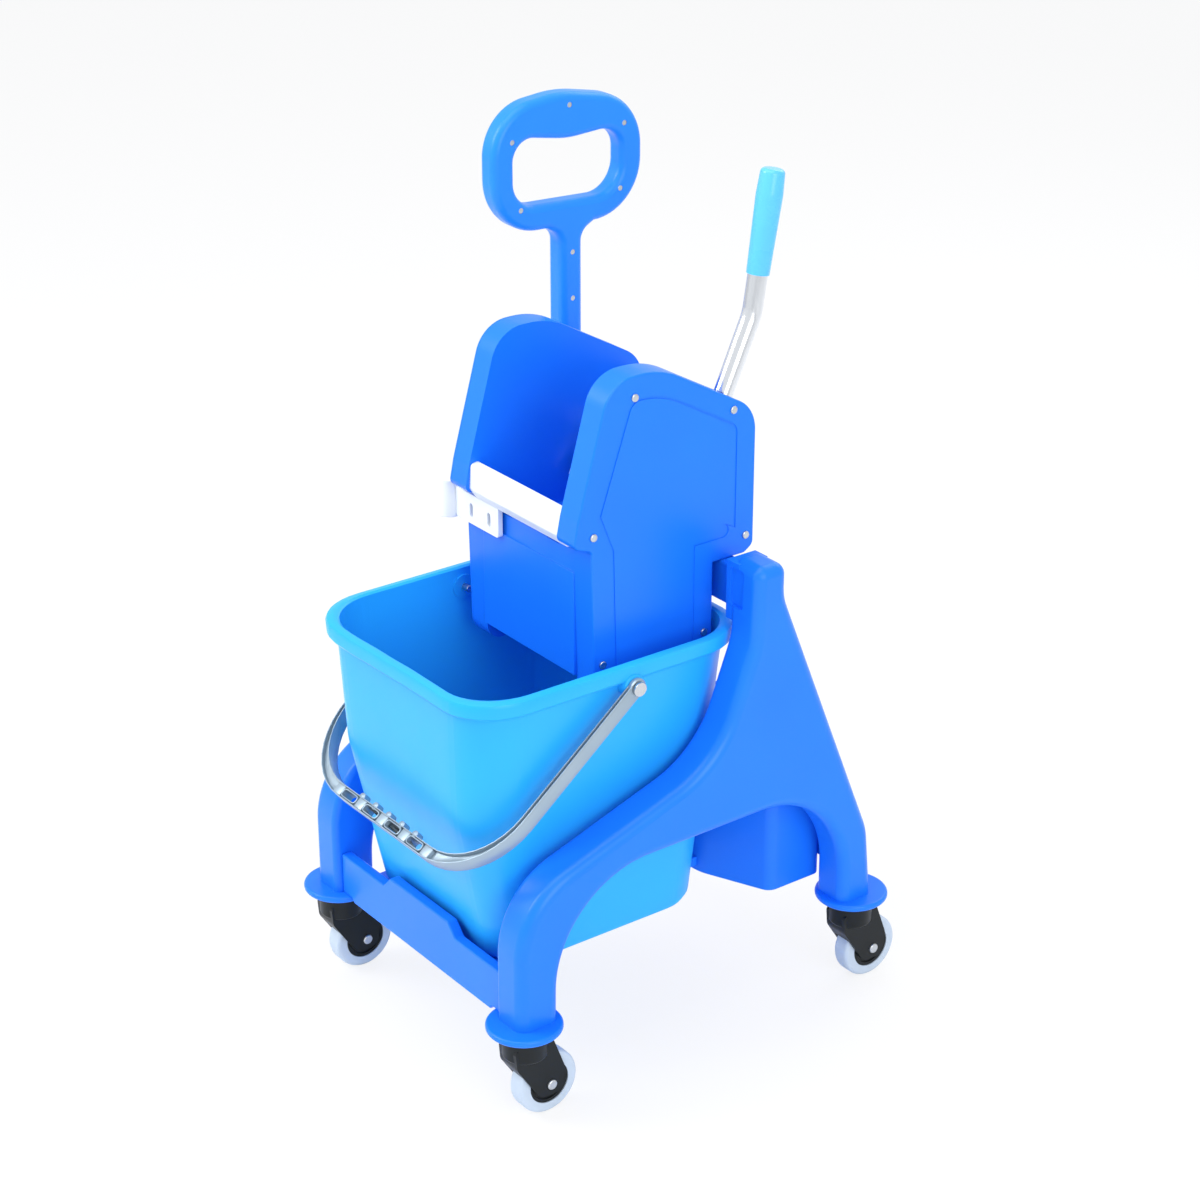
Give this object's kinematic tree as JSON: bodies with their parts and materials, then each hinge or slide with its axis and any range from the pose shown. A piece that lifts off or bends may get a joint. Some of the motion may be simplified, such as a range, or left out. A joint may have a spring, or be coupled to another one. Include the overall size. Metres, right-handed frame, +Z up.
{
  "type": "mop bucket trolley with wringer",
  "caption": "Mopping trolley: arched side frames on swivel casters carry a tapered bucket with a bail and a hanging lever press wringer, with a ring handle to push it.",
  "frame": {"origin": "middle of the footprint on the floor, at the bottom of the wheels", "axes": "+Z up, +X to the right side (lever), -Y to the front (bucket), +Y to the rear where it is pushed"},
  "size_m": [0.454, 0.5852, 1.002],
  "materials": {
    "frame_blue": "satin gloss",
    "handle_blue": "satin gloss",
    "pocket_blue": "satin gloss",
    "bucket_blue": "semi gloss",
    "wringer_blue": "satin gloss",
    "bail_grey": "satin",
    "steel": "bright",
    "polished_tube": "polished",
    "grip_blue": "gloss",
    "caster_black": "satin",
    "tyre_grey": "matt",
    "white_nylon": "satin"
  },
  "bodies": {
    "chassis": {"side_frame_left": "frame_blue", "side_frame_right": "frame_blue", "front_crossbar": "frame_blue", "tower_crossbeam": "frame_blue", "rear_crossbar": "frame_blue", "rear_pocket": "pocket_blue", "bucket_rear_rest": "frame_blue", "handle_shell_outer": "handle_blue", "handle_shell_inner": "handle_blue", "handle_screws": "steel", "caster_flange_front_left": "frame_blue", "caster_flange_front_right": "frame_blue", "caster_flange_rear_left": "frame_blue", "caster_flange_rear_right": "frame_blue"},
    "caster_swivel_front_left": {"caster_fork_front_left": "caster_black", "caster_axle_front_left": "steel"},
    "caster_wheel_front_left": {"caster_hub_front_left": "caster_black", "caster_tyre_front_left": "tyre_grey"},
    "caster_swivel_front_right": {"caster_fork_front_right": "caster_black", "caster_axle_front_right": "steel"},
    "caster_wheel_front_right": {"caster_hub_front_right": "caster_black", "caster_tyre_front_right": "tyre_grey"},
    "caster_swivel_rear_left": {"caster_fork_rear_left": "caster_black", "caster_axle_rear_left": "steel"},
    "caster_wheel_rear_left": {"caster_hub_rear_left": "caster_black", "caster_tyre_rear_left": "tyre_grey"},
    "caster_swivel_rear_right": {"caster_fork_rear_right": "caster_black", "caster_axle_rear_right": "steel"},
    "caster_wheel_rear_right": {"caster_hub_rear_right": "caster_black", "caster_tyre_rear_right": "tyre_grey"},
    "bucket": {"bucket": "bucket_blue", "bail_studs": "steel"},
    "bail": {"bail": "bail_grey"},
    "wringer": {"cheek_left": "wringer_blue", "cheek_right": "wringer_blue", "cheek_cover_left": "wringer_blue", "cheek_cover_right": "wringer_blue", "cover_bolts": "steel", "wringer_front_wall": "wringer_blue", "wringer_back_wall": "wringer_blue", "wringer_floor": "wringer_blue", "guide_rail_left": "wringer_blue", "guide_rail_right": "wringer_blue", "shaft_bushes": "white_nylon", "lip_plate": "white_nylon", "handle_clip": "white_nylon"},
    "lever": {"shaft": "steel", "lever_tube": "polished_tube", "lever_grip": "grip_blue", "sector_left": "white_nylon", "sector_right": "white_nylon"},
    "jaw": {"jaw": "wringer_blue", "jaw_rack_left": "white_nylon", "jaw_rack_right": "white_nylon"}
  },
  "joints": [
    {"name": "swivel_front_left", "type": "hinge", "parent": "chassis", "child": "caster_swivel_front_left", "pos_m": [-0.185, -0.23192, 0.111], "axis": [0, 0, 1], "continuous": true},
    {"name": "wheel_front_left", "type": "hinge", "parent": "caster_swivel_front_left", "child": "caster_wheel_front_left", "pos_m": [-0.185, -0.20792, 0.0375], "axis": [1, 0, 0], "continuous": true},
    {"name": "swivel_front_right", "type": "hinge", "parent": "chassis", "child": "caster_swivel_front_right", "pos_m": [0.185, -0.23192, 0.111], "axis": [0, 0, 1], "continuous": true},
    {"name": "wheel_front_right", "type": "hinge", "parent": "caster_swivel_front_right", "child": "caster_wheel_front_right", "pos_m": [0.185, -0.20792, 0.0375], "axis": [1, 0, 0], "continuous": true},
    {"name": "swivel_rear_left", "type": "hinge", "parent": "chassis", "child": "caster_swivel_rear_left", "pos_m": [-0.185, 0.23108, 0.111], "axis": [0, 0, 1], "continuous": true},
    {"name": "wheel_rear_left", "type": "hinge", "parent": "caster_swivel_rear_left", "child": "caster_wheel_rear_left", "pos_m": [-0.185, 0.25508, 0.0375], "axis": [1, 0, 0], "continuous": true},
    {"name": "swivel_rear_right", "type": "hinge", "parent": "chassis", "child": "caster_swivel_rear_right", "pos_m": [0.185, 0.23108, 0.111], "axis": [0, 0, 1], "continuous": true},
    {"name": "wheel_rear_right", "type": "hinge", "parent": "caster_swivel_rear_right", "child": "caster_wheel_rear_right", "pos_m": [0.185, 0.25508, 0.0375], "axis": [1, 0, 0], "continuous": true},
    {"name": "bucket_lift", "type": "slide", "parent": "chassis", "child": "bucket", "axis": [0, 0, 1], "range_m": [0, 0.012]},
    {"name": "bail_swing", "type": "hinge", "parent": "bucket", "child": "bail", "pos_m": [0, -0.07242, 0.463], "axis": [-1, 0, 0], "range_deg": [0, 112]},
    {"name": "wringer_lift", "type": "slide", "parent": "chassis", "child": "wringer", "axis": [0, 0, 1], "range_m": [0, 0.1]},
    {"name": "lever_swing", "type": "hinge", "parent": "wringer", "child": "lever", "pos_m": [0, 0.05758, 0.649], "axis": [-1, 0, 0], "range_deg": [0, 51.16]},
    {"name": "jaw_slide", "type": "slide", "parent": "wringer", "child": "jaw", "axis": [0, -1, 0], "range_m": [0, 0.0501]}
  ],
  "couplings": [
    {"joint": "jaw_slide", "follows": "lever_swing", "m_per_rad": 0.056}
  ]
}
